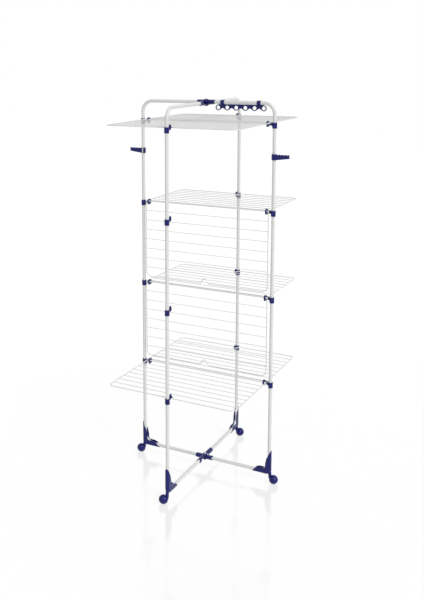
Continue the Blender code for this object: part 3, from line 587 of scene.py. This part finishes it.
class AIRER_OT_tubes(bpy.types.Operator):
    """Bends the four tubes of the two hoops"""

    bl_idname = "airer.tubes"
    bl_label = "Hoop tubes"

    def execute(self, context):
        sizes = context.scene.airer_tubes
        tree = tube_tree()
        look = stoved_enamel(context.scene.airer_finish)
        values = {"Radius": sizes.radius, "Sides": sizes.sides, "Material": look}
        for kind, sides, radius, top, base, start in (
            ("rack", ("left", "right"), RACK_RADIUS, RACK_TOP, RACK_BASE, RACK_TUBE_START),
            ("catch", ("front", "back"), CATCH_RADIUS, CATCH_TOP, CATCH_BASE, CATCH_TUBE_START),
        ):
            bends = [((radius, 0, height), sizes.bend_radius) for height in (top, base)]
            corners = [((start, 0, top), 0), *bends, ((start, 0, base), 0)]
            path = path_mesh("tube path", rounded_path(corners, sizes.bend_steps))
            tube = grown("bent tube", path, tree, values)
            for side in sides:
                seat(tube, f"bent_tube_{side}", f"{kind}_hoop_tube_{side}", at_upright(side, 0, 0))
        return {"FINISHED"}


class AIRER_OT_racks(bpy.types.Operator):
    """Welds the eight wire racks"""

    bl_idname = "airer.racks"
    bl_label = "Racks"

    def execute(self, context):
        sizes = context.scene.airer_racks
        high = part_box("rack_back_1")[1]
        rod_half = high.x
        side = rod_half - sizes.rod_overhang
        reach = high.y - sizes.rim_radius - HINGE_OFFSET
        half = sizes.notch_width / 2
        tip = sizes.notch_tip_radius
        centre = sizes.notch_depth - tip
        lean = 1 - (tip / half) ** 2
        depth = (centre + math.sqrt(centre**2 - lean * (centre**2 - tip**2))) / lean
        bend, shoulder = sizes.corner_radius, sizes.notch_shoulder_radius
        right = [((half, reach, 0), shoulder), ((side, reach, 0), bend), ((side, 0, 0), 0)]
        left = [((-x, y, z), radius) for (x, y, z), radius in reversed(right)]
        corners = [*left, ((0, reach - depth, 0), tip), *right]
        path = path_mesh("rim path", rounded_path(corners, steps=12))
        values = {
            "Half length": side,
            "Rod half length": rod_half,
            "Pitch": reach / (sizes.inner_wires + 1),
            "Wires": sizes.inner_wires,
            "Material": stoved_enamel(context.scene.airer_finish),
        }
        for kind in ("Rod", "Rim", "Wire", "Bead"):
            values[f"{kind} radius"] = getattr(sizes, f"{kind.lower()}_radius")
        rack = grown("welded rack", path, rack_tree(), values)
        for level, height in enumerate(LEVELS, 1):
            for side_name, sign, turn in (("front", -1, 180), ("back", 1, 0)):
                node = f"rack_{side_name}_{level}"
                fall = -90 if node + "_hinge" in HANGING else 0
                place = placed((0, sign * HINGE_OFFSET, height), (fall, 0, turn))
                seat(rack, f"welded_rack_{side_name}_{level}", node, place)
        return {"FINISHED"}


COLLAR_RISE = 0.0025
COLLAR_DROP = 0.0225


def collar_bore(rise=COLLAR_RISE, drop=COLLAR_DROP):
    return bar("bore", BORE_RADIUS, (0, 0, -drop - OVERRUN), (0, 0, rise + OVERRUN))


class AIRER_OT_brackets(bpy.types.Operator):
    """Moulds the eight brackets that the racks hinge in"""

    bl_idname = "airer.brackets"
    bl_label = "Rack brackets"

    def execute(self, context):
        rod = context.scene.airer_racks.rod_radius + SEAT_GAP
        near, far = 0.027, 0.034  # the head's faces, inwards from the upright
        rod_wall, stem_thick, rim_proud, rim_half = 0.0018, 0.007, 0.0004, 0.0009
        lug, middle = rod + rod_wall, -(near + far) / 2
        bracket = bar("rack bracket", FITTING_RADIUS, (0, 0, -COLLAR_DROP), (0, 0, COLLAR_RISE))
        stem = [(0, 0.0015), (0, -0.018), (middle, -lug), (middle, 0.0015)]
        wide = HINGE_OFFSET + lug
        half = [(0.0035, 0.009), (wide, lug / 2), (wide, -0.009), (0.0085, -0.0165)]
        face = half + [(-across, height) for across, height in half[::-1]]
        head = plate("head", face, far - near)
        head.data.transform(Matrix.Translation((middle, 0, 0)) @ Matrix.Rotation(math.pi / 2, 4, "Z"))
        # A bead round the collar's top and foot, where the mould parts.
        rims = [
            bar("rim", FITTING_RADIUS + rim_proud, (0, 0, z - rim_half), (0, 0, z + rim_half))
            for z in (COLLAR_RISE - rim_half, rim_half - COLLAR_DROP)
        ]
        bracket = combine(bracket, "UNION", [plate("stem", stem, stem_thick), head, *rims])
        holes = [
            bar("rod hole", rod, (-near + OVERRUN, y, 0), (-far - OVERRUN, y, 0), sides=24)
            for y in (-HINGE_OFFSET, HINGE_OFFSET)
        ]
        bracket = combine(bracket, "DIFFERENCE", [collar_bore(), *holes])
        mesh = moulded(bracket, context.scene.airer_finish, grain=0.00035, keep=0.22)
        seat_levels(mesh, "moulded_bracket", "rack_bracket", ("left", "right"))
        return {"FINISHED"}


class AIRER_OT_catches(bpy.types.Operator):
    """Moulds the eight catches that hold the racks' outer wires"""

    bl_idname = "airer.catches"
    bl_label = "Catches"

    def execute(self, context):
        racks = context.scene.airer_racks
        lip_thick, lip_reach, finger_thick = 0.0015, 0.0016, 0.008
        edge = CATCH_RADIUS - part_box("rack_back_1")[1].y + racks.rim_radius
        nose = -(edge + racks.notch_depth - racks.notch_tip_radius)
        room = racks.notch_tip_radius - racks.rim_radius
        nose_radius = room - 2 * SEAT_GAP
        lip_top = -(racks.rim_radius + SEAT_GAP)
        lip_bottom = lip_top - lip_thick
        catch = bar("catch", FITTING_RADIUS, (0, 0, -COLLAR_DROP), (0, 0, COLLAR_RISE))
        finger = [(0, 0.0015), (0, -0.017), (nose, (lip_top + lip_bottom) / 2), (nose, 0)]
        profile = [(0, 0.0125), (0.003, 0.0125), (nose_radius, 0.006), (nose_radius, lip_top)]
        profile += [(room + lip_reach, lip_top), (room + lip_reach, lip_bottom)]
        profile += [(nose_radius, lip_bottom), (0.003, -0.012), (0, -0.012)]
        knob = turned("nose", profile, steps=32, place=Matrix.Translation((nose, 0, 0)))
        catch = combine(catch, "UNION", [plate("finger", finger, finger_thick), knob])
        catch = combine(catch, "DIFFERENCE", [collar_bore()])
        mesh = moulded(catch, context.scene.airer_finish, grain=0.00035, keep=0.22)
        seat_levels(mesh, "moulded_catch", "catch", ("front", "back"))
        return {"FINISHED"}


# The castors' stems, in the feet
STEM_RADIUS = 0.004
STEM_LENGTH = 0.014  # in its socket
STEM_OUTSET = 0.004  # from the upright's axis


class AIRER_OT_feet(bpy.types.Operator):
    """Moulds the four feet that clip onto the hoops' lower bends"""

    bl_idname = "airer.feet"
    bl_label = "Feet"

    def execute(self, context):
        outer, flange, top, reach = FITTING_RADIUS, 0.0165, 0.109, 0.083
        heel_radius, flange_radius, mouth_width = 0.014, 0.010, 0.0135
        # Where each end's slant crosses the tube, and where it ends on the flange.
        top_cross, top_end, arm_cross, arm_end = top - 0.041, top - 0.068, 0.018 - reach, 0.032 - reach
        bend = context.scene.airer_tubes.bend_radius
        high, far = top + OVERRUN, reach + OVERRUN
        spine = [((0, 0, high), 0), ((0, 0, 0), heel_radius), ((-far, 0, 0), 0)]
        foot = swept("foot", rounded_path(spine), outer)
        inner = [(-flange, high), (0, high), (0, 0), (-far, 0), (-far, flange)]
        corner = [((-far, 0, flange), 0), ((-flange, 0, flange), flange_radius), ((-flange, 0, high), 0)]
        inner += [(point.x, point.z) for point in rounded_path(corner)[1:-1]]
        boss = [(0, 0.012), (0.0061, 0.012), (0.0079, -outer), (0, -outer)]
        boss = turned("stem boss", boss, place=Matrix.Translation((STEM_OUTSET, 0, 0)))
        foot = combine(foot, "UNION", [plate("flanges", inner, 2 * outer - SEAT_GAP), boss])
        past, edge, lip, clear = reach + 2 * OVERRUN, outer + OVERRUN, flange + OVERRUN, top + 2 * OVERRUN
        above = [(edge, top), (outer, top), (-outer, top_cross), (-flange, top_end)]
        above += [(-lip, top_end), (-lip, clear), (edge, clear)]
        beyond = [(-reach, -edge), (-reach, -outer), (arm_cross, outer), (arm_end, flange)]
        beyond += [(arm_end, lip), (-past, lip), (-past, -edge)]
        axis = rounded_path([((0, 0, 2 * high), 0), ((0, 0, 0), bend), ((-2 * far, 0, 0), 0)])
        mouth = [(point.x, point.z) for point in axis] + [(-2 * far, 2 * high)]
        socket = [(STEM_OUTSET, 0, -edge), (STEM_OUTSET, 0, STEM_LENGTH - outer + SEAT_GAP)]
        cutters = [
            plate("top end", above, 2 * edge),
            plate("arm end", beyond, 2 * edge),
            swept("tube space", axis, BORE_RADIUS),
            plate("mouth", mouth, mouth_width),
            bar("stem socket", STEM_RADIUS + SEAT_GAP, *socket),
        ]
        foot = combine(foot, "DIFFERENCE", cutters)
        mesh = moulded(foot, context.scene.airer_finish, grain=0.0005, keep=0.22)
        for side in SIDES:
            base = RACK_BASE if side in ("left", "right") else CATCH_BASE
            seat(mesh, f"moulded_foot_{side}", f"foot_{side}", at_upright(side, base))
        return {"FINISHED"}


class AIRER_OT_pivots(bpy.types.Operator):
    """Moulds the crossing sleeves and rivets the pins through them"""

    bl_idname = "airer.pivots"
    bl_label = "Pivots"

    boss_height, boss_radius, notch_radius = 0.0122, 0.0105, 0.0065
    pin_radius = 0.004

    def sweep(self, side):
        """Where the rack hoop's sleeve passes under the catch hoop's, which folds to one side."""
        start, slant = 0.0045, 0.0075
        wide, end = FITTING_RADIUS + OVERRUN, CATCH_TUBE_START - PLASTIC_WALL
        half = [(start, -wide), (end, slant), (end, wide)]
        return [(x, y * side) for x, y in half + [(-x, -y) for x, y in half]]

    def sleeve(self, name, length, start, flat_depth, outline, fork, finish):
        """A sleeve along X that joins two tubes, with a flat underneath and a forked -X end."""
        wide, high = FITTING_RADIUS + OVERRUN, self.boss_height
        sleeve = bar(name, FITTING_RADIUS, (-length / 2, 0, 0), (length / 2, 0, 0), sides=48)
        boss = bar("boss", self.boss_radius, (0, 0, -wide), (0, 0, high))
        sleeve = combine(sleeve, "UNION", [boss])
        deep = wide + OVERRUN - flat_depth
        lower = Matrix.Translation((0, 0, -flat_depth - deep / 2))
        flat = plate("flat", outline, deep)
        flat.data.transform(lower @ Matrix.Rotation(-math.pi / 2, 4, "X"))
        end, across = Vector((-length / 2, 0, 0)), Vector(fork) * (wide + OVERRUN)
        cutters = [
            bar("notch", self.notch_radius, end - across, end + across),
            bar("pin hole", self.pin_radius + SEAT_GAP, (0, 0, -wide), (0, 0, high + OVERRUN)),
        ]
        for side in (-1, 1):
            near, far = side * (start - SEAT_GAP), side * (length / 2 + OVERRUN)
            cutters.append(bar("bore", BORE_RADIUS, (near, 0, 0), (far, 0, 0)))
        return moulded(combine(sleeve, "DIFFERENCE", [*cutters, flat]), finish, grain=0.00042, keep=0.2)

    def pin(self, look):
        """A rivet with rounded heads, and in each the small pit that the riveting tool leaves."""
        head = [(0.008, 0), (0.008, 0.0011), (0.0073, 0.0019), (0.006, 0.0025)]
        head += [(0.0016, 0.0025), (0.0011, 0.0021), (0, 0.0019)]
        grip = 2 * self.boss_height + HOOP_STEP + 2 * SEAT_GAP
        profile = [(radius, grip + height) for radius, height in reversed(head)]
        profile += [(self.pin_radius, grip), (self.pin_radius, 0)]
        profile += [(radius, -height) for radius, height in head]
        return crisp(turned("riveted pin", profile, steps=48), degrees=60, look=look)

    def execute(self, context):
        finish = context.scene.airer_finish
        skin, far, catch_length = 0.0008, 0.086, 0.144  # far: the rack hoop's sleeve, end to end
        rack_flat = BORE_RADIUS + skin
        whole = [(-far, -far), (far, -far), (far, far), (-far, far)]
        rack = self.sleeve("rack sleeve", far, RACK_TUBE_START, rack_flat, whole, (0, 1, 0), finish)
        sizes = catch_length, CATCH_TUBE_START, HOOP_STEP - rack_flat - SEAT_GAP
        over = self.sleeve("top catch sleeve", *sizes, self.sweep(-1), (0, 0, 1), finish)
        under = self.sleeve("base catch sleeve", *sizes, self.sweep(1), (0, 0, 1), finish)
        pin = self.pin(zinc_plate(finish))
        drop = self.boss_height + SEAT_GAP
        for mesh, name, node, position, turn in (
            (rack, "moulded_sleeve_rack_top", "top_pivot_rack_sleeve", RACK_TOP, (0, 0, 0)),
            (over, "moulded_sleeve_catch_top", "top_pivot_catch_sleeve", CATCH_TOP, (180, 0, 90)),
            (rack, "moulded_sleeve_rack_base", "base_pivot_rack_sleeve", RACK_BASE, (0, 180, 0)),
            (under, "moulded_sleeve_catch_base", "base_pivot_catch_sleeve", CATCH_BASE, (0, 0, 90)),
            (pin, "riveted_pin_top", "top_pivot_pin", CATCH_TOP - drop, (0, 0, 0)),
            (pin, "riveted_pin_base", "base_pivot_pin", RACK_BASE - drop, (0, 0, 0)),
        ):
            seat(mesh, name, node, placed((0, 0, position), turn))
        return {"FINISHED"}


class AIRER_OT_castors(bpy.types.Operator):
    """Moulds the four ball castors and plates their axles"""

    bl_idname = "airer.castors"
    bl_label = "Castors"

    def half_ball(self, name, radius, grooves):
        """A half ball bulging along +Y, with a blind axle hole in its face and rings in its back."""
        hub = (0, 0.0006), (0.0042, 0.0006), (0.0046, 0.0003)  # radii, and depths in the ball
        groove_half, groove_depth, axle_room, axle_depth = 0.03, 0.0006, 0.0033, 0.012
        clear, steps = 0.005, 36
        profile = [(out, radius - depth) for out, depth in hub]
        for i in range(steps + 1):
            angle = math.pi / 2 * i / steps
            if radius * math.sin(angle) < clear:
                continue
            grooved = any(abs(angle - groove) < groove_half for groove in grooves)
            sunk = radius - groove_depth * grooved
            profile.append((sunk * math.sin(angle), sunk * math.cos(angle)))
        rim = (radius, 0.0005), (radius - 0.0004, 0)
        profile[-1:] = [*rim, (axle_room, 0), (axle_room, axle_depth), (0, axle_depth)]
        turn = Matrix.Translation((0, SEAT_GAP / 2, 0)) @ Matrix.Rotation(-math.pi / 2, 4, "X")
        return turned(name, profile, ROUND_BALL, turn)

    def housing(self, seat_height, finish):
        """The fixed half, with its neck up to the foot and its stem on Z. It trails to +X."""
        trail, wheel_room, smaller, stem_foot = 0.017, 0.0005, 0.0008, 0.032
        ball, room, top = BALL_HEIGHT, BALL_HEIGHT + wheel_room, seat_height - SEAT_GAP
        housing = self.half_ball("castor housing", BALL_RADIUS - smaller, ())
        housing.data.transform(Matrix.Translation((trail, 0, ball)) @ Matrix.Rotation(math.pi, 4, "Z"))
        neck = turned("neck", [(0, top), (0.0075, top), (0.0066, 0.028), (0, 0.028)])
        stem = bar("stem", STEM_RADIUS, (0, 0, stem_foot), (0, 0, seat_height + STEM_LENGTH))
        housing = combine(housing, "UNION", [neck, stem])
        steps = 24
        arc = [math.pi / 2 * i / steps for i in range(steps + 1)]
        profile = [(room * math.sin(angle), room * math.cos(angle)) for angle in arc] + [(0, 0)]
        turn = Matrix.Translation((trail, -SEAT_GAP / 2, ball)) @ Matrix.Rotation(-math.pi / 2, 4, "X")
        housing = combine(housing, "DIFFERENCE", [turned("wheel space", profile, ROUND_BALL, turn)])
        return moulded(housing, finish, grain=0.00035, keep=0.25)

    def execute(self, context):
        finish = context.scene.airer_finish
        zinc = zinc_plate(finish)
        rings = 0.55, 1.05  # the grooves in the wheel's back, as angles from its axle
        wheel = self.half_ball("castor wheel", BALL_RADIUS, rings)
        wheel = crisp(wheel, degrees=50, look=moulded_polypropylene(finish))
        foot_bottom = RACK_BASE - FITTING_RADIUS
        housings = {
            "left": self.housing(foot_bottom, finish),
            "front": self.housing(foot_bottom + HOOP_STEP, finish),
        }
        housings["right"], housings["back"] = housings["left"], housings["front"]
        for side in SIDES:
            x, y, _ = JOINTS[f"castor_swivel_{side}"]["pos_m"]
            hub = JOINTS[f"castor_roll_{side}"]["pos_m"]
            yaw = math.degrees(math.atan2(hub[1] - y, hub[0] - x))
            stand = placed((x, y, 0), (0, 0, yaw))
            seat(housings[side], f"moulded_housing_{side}", f"castor_housing_{side}", stand)
            seat(wheel, f"moulded_wheel_{side}", f"castor_wheel_{side}", placed(hub, (0, 0, yaw)))
            for slot in frame["nodes"][f"castor_axle_{side}"].material_slots:
                slot.material = zinc
        return {"FINISHED"}


class AIRER_OT_arms(bpy.types.Operator):
    """Moulds the two notched arms for coat hangers"""

    bl_idname = "airer.arms"
    bl_label = "Hanger arms"

    def execute(self, context):
        half, wall, reach, bumps = 0.013, 0.0035, 0.0685, 4
        crest, dip, tip_drop, thickness, mouth_half = 0.0115, 0.0085, 0.005, 0.008, 0.005
        crest_end, dip_at = 0.4, 0.7  # shares of a bump
        around = BORE_RADIUS + wall
        arm = bar("hanger arm", around, (0, 0, -half), (0, 0, half))
        pitch = (reach - around) / bumps
        outline = [(reach, -tip_drop), (reach, crest)]
        for i in range(bumps):
            right = reach - pitch * i
            outline += [(right - pitch * crest_end, crest), (right - pitch * dip_at, dip)]
            outline.append((right - pitch, crest))
        outline += [(0, crest), (0, SEAT_GAP - half), (around, SEAT_GAP - half)]
        arm = combine(arm, "UNION", [plate("blade", outline, thickness)])
        low, high = (-mouth_half, 0, -half - OVERRUN), (mouth_half, around + OVERRUN, half + OVERRUN)
        arm = combine(arm, "DIFFERENCE", [collar_bore(half, half), block("mouth", low, high)])
        mesh = moulded(arm, context.scene.airer_finish, grain=0.00038, keep=0.22)
        for side in ("left", "right"):
            seat(mesh, f"moulded_arm_{side}", f"hanger_arm_{side}", at_upright(side, ARM_HEIGHT))
        return {"FINISHED"}


class AIRER_OT_rail(bpy.types.Operator):
    """Moulds the rail of rings under the rack hoop's top run"""

    bl_idname = "airer.rail"
    bl_label = "Peg rail"

    def strip(self, start, end, width, thickness):
        start, end = Vector(start), Vector(end)
        side = (end - start).orthogonal().normalized() * width / 2
        return plate("strip", [start + side, end + side, end - side, start - side], thickness)

    def execute(self, context):
        count, first, drop, end_inset = 6, 0.0596, 0.0235, 0.0508
        outer, hole, thick, rib_angle = 0.013, 0.0088, 0.004, math.radians(52)
        web_height, web_thick, panel_thick, rib_width = 0.0035, 0.003, 0.0016, 0.0028
        clip, clip_half, mouth_half = 0.0105, 0.0085, 0.005
        pitch = (RACK_RADIUS - end_inset - first) / (count - 1)
        xs = [first + pitch * i for i in range(count)]
        web_top = -(BORE_RADIUS + SEAT_GAP)
        bar_z = web_top - web_height / 2
        ring = (outer + hole) / 2
        across, up = ring * math.cos(rib_angle), ring * math.sin(rib_angle)
        rail = self.strip((xs[0], bar_z), (xs[-1], bar_z), web_height, web_thick)
        ribs = (up, web_thick - SEAT_GAP), (-up, web_thick - 2 * SEAT_GAP)
        added = []
        for left, right in zip(xs, xs[1:]):
            near, far, low = left + across, right - across, -drop - up
            panel = [(near, bar_z), (near, low), ((left + right) / 2, -drop), (far, low), (far, bar_z)]
            added.append(plate("panel", panel, panel_thick))
            for rise, thickness in ribs:
                added.append(self.strip((near, rise - drop), (far, -rise - drop), rib_width, thickness))
        for x in xs:
            added.append(bar("ring", outer, (x, -thick / 2, -drop), (x, thick / 2, -drop)))
        for x in ((xs[0] + xs[1]) / 2, (xs[-2] + xs[-1]) / 2):
            added.append(bar("clip", clip, (x - clip_half, 0, 0), (x + clip_half, 0, 0)))
            gusset = [(x - clip_half, web_top - SEAT_GAP), (x, -drop), (x + clip_half, web_top - SEAT_GAP)]
            added.append(plate("gusset", gusset, thick))
        rail = combine(rail, "UNION", added)
        bend = context.scene.airer_tubes.bend_radius
        axis = rounded_path([((0, 0, 0), 0), ((RACK_RADIUS, 0, 0), bend), ((RACK_RADIUS, 0, -2 * bend), 0)])
        cutters = [
            swept("tube space", axis, BORE_RADIUS),
            block("mouth", (xs[0], 0, -mouth_half), (xs[-1], clip + OVERRUN, mouth_half)),
        ]
        cutters += [bar("hole", hole, (x, -OVERRUN, -drop), (x, OVERRUN, -drop)) for x in xs]
        rail = combine(rail, "DIFFERENCE", cutters)
        mesh = moulded(rail, context.scene.airer_finish, grain=0.00035, keep=0.25, rounds=4)
        seat(mesh, "moulded_peg_rail", "peg_rail", placed((0, 0, RACK_TOP)))
        return {"FINISHED"}


class AIRER_OT_stage(bpy.types.Operator):
    """Sets the camera, the lamps, the white backdrop and the pale floor"""

    bl_idname = "airer.stage"
    bl_label = "Stage"

    def floor(self, stage, finish):
        """A satin floor that keeps the shadow, and fades into the backdrop with distance."""
        drift_size, fade_reach, near_glow = 0.5, (0.9, 3.2), 0.84
        glow_strength, lacquer_share, white = 1.04, 0.13, (1, 1, 1, 1)
        made, tree, shader, where = new_material("Pale satin floor", IOR=1.4)
        shader.inputs["Base Color"].default_value = linear(finish.floor)
        gloss = spread(tree, noise(tree, where, drift_size, detail=3.0), (0.09, 0.15))
        feed(tree, shader, Roughness=gloss)
        away = add_node(tree, "ShaderNodeVectorMath", {0: where}, operation="LENGTH").outputs["Value"]
        fade = spread(tree, away, (near_glow, 1.0), fade_reach, interpolation_type="SMOOTHSTEP")
        rays = add_node(tree, "ShaderNodeLightPath").outputs
        seen = maths(tree, "MAXIMUM", rays["Is Camera Ray"], rays["Is Glossy Ray"])
        glow = add_node(tree, "ShaderNodeEmission", {"Color": white, "Strength": glow_strength})
        # The lacquer mirrors the feet faintly.
        lacquer = add_node(tree, "ShaderNodeBsdfAnisotropic", {"Color": white, "Roughness": gloss})
        under = shader
        for share, over in ((maths(tree, "MULTIPLY", seen, fade), glow), (lacquer_share, lacquer)):
            inputs = {0: share, 1: under.outputs[0], 2: over.outputs[0]}
            under = add_node(tree, "ShaderNodeMixShader", inputs)
        tree.links.new(under.outputs["Shader"], tree.nodes["Material Output"].inputs["Surface"])
        half = stage.floor_half
        corners = [(-half, -half, 0), (half, -half, 0), (half, half, 0), (-half, half, 0)]
        mesh = bpy.data.meshes.new("floor")
        mesh.from_pydata(corners, [], [(0, 1, 2, 3)])
        mesh.materials.append(made)
        link("pale_floor", mesh)

    def backdrop(self, scene, strength):
        """White to the eye and in reflections, and a plain soft light for all else."""
        scene.world = bpy.data.worlds.new("white backdrop")
        scene.world.use_nodes = True
        tree = scene.world.node_tree
        rays = add_node(tree, "ShaderNodeLightPath").outputs
        seen = rays["Is Camera Ray"]
        for kind in ("Is Glossy Ray", "Is Transmission Ray"):
            seen = maths(tree, "MAXIMUM", seen, rays[kind])
        light = tree.nodes["Background"]
        light.inputs["Color"].default_value = (1, 1, 1, 1)
        tree.links.new(spread(tree, seen, (strength, 1.0)), light.inputs["Strength"])

    def camera(self, scene, stage):
        lens = bpy.data.cameras.new("camera")
        width, height = stage.picture
        across, down = stage.axis_pixel
        lens.lens = stage.focal * lens.sensor_width / height
        lens.shift_x = (width / 2 - across - 0.5) / height
        lens.shift_y = (down + 0.5 - height / 2) / height
        eye = link("camera", lens)
        turn = Matrix.Rotation(stage.azimuth, 4, "Z") @ Matrix.Rotation(math.pi / 2 - stage.pitch, 4, "X")
        eye.matrix_world = Matrix.Translation(stage.eye) @ turn @ Matrix.Rotation(stage.roll, 4, "Z")
        scene.camera = eye

    def execute(self, context):
        scene = context.scene
        stage = scene.airer_stage
        scene.view_settings.view_transform = "Standard"
        self.camera(scene, stage)
        self.floor(stage, scene.airer_finish)
        self.backdrop(scene, stage.room)
        lamp = bpy.data.lights.new("soft key", "SUN")
        lamp.energy = stage.key
        lamp.angle = stage.key_size
        key = link("soft_key", lamp)
        towards = Vector((0.92, -0.42, 0.95))  # the key, from the airer
        key.matrix_world = towards.to_track_quat("Z", "Y").to_matrix().to_4x4()
        return {"FINISHED"}


OPERATORS = (
    AIRER_OT_stage, AIRER_OT_tubes, AIRER_OT_racks, AIRER_OT_brackets, AIRER_OT_catches,
    AIRER_OT_feet, AIRER_OT_pivots, AIRER_OT_castors, AIRER_OT_arms, AIRER_OT_rail,
)
GROUPS = {
    "airer_tubes": AirerTubes,
    "airer_racks": AirerRacks,
    "airer_finish": AirerFinish,
    "airer_stage": AirerStage,
}


class AIRER_PT_sidebar(bpy.types.Panel):
    """The airer's sizes, finishes and pieces"""

    bl_idname = "AIRER_PT_sidebar"
    bl_label = "Tower clothes airer"
    bl_space_type = "VIEW_3D"
    bl_region_type = "UI"
    bl_category = "Airer"

    def draw(self, context):
        for name, group in GROUPS.items():
            box = self.layout.box()
            box.label(text=group.__doc__)
            for key in group.__annotations__:
                box.prop(getattr(context.scene, name), key)
        for operator in OPERATORS:
            self.layout.operator(operator.bl_idname)


def register():
    for kind in (*GROUPS.values(), *OPERATORS, AIRER_PT_sidebar):
        bpy.utils.register_class(kind)
    for name, group in GROUPS.items():
        setattr(bpy.types.Scene, name, PointerProperty(type=group))


def unregister():
    for name in GROUPS:
        delattr(bpy.types.Scene, name)
    for kind in reversed((*GROUPS.values(), *OPERATORS, AIRER_PT_sidebar)):
        bpy.utils.unregister_class(kind)


def main():
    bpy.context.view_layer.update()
    register()
    bpy.ops.airer.stage()
    bpy.ops.airer.tubes()
    bpy.ops.airer.racks()
    bpy.ops.airer.brackets()
    bpy.ops.airer.catches()
    bpy.ops.airer.feet()
    bpy.ops.airer.pivots()
    bpy.ops.airer.castors()
    bpy.ops.airer.arms()
    bpy.ops.airer.rail()


if __name__ == "__main__":
    main()
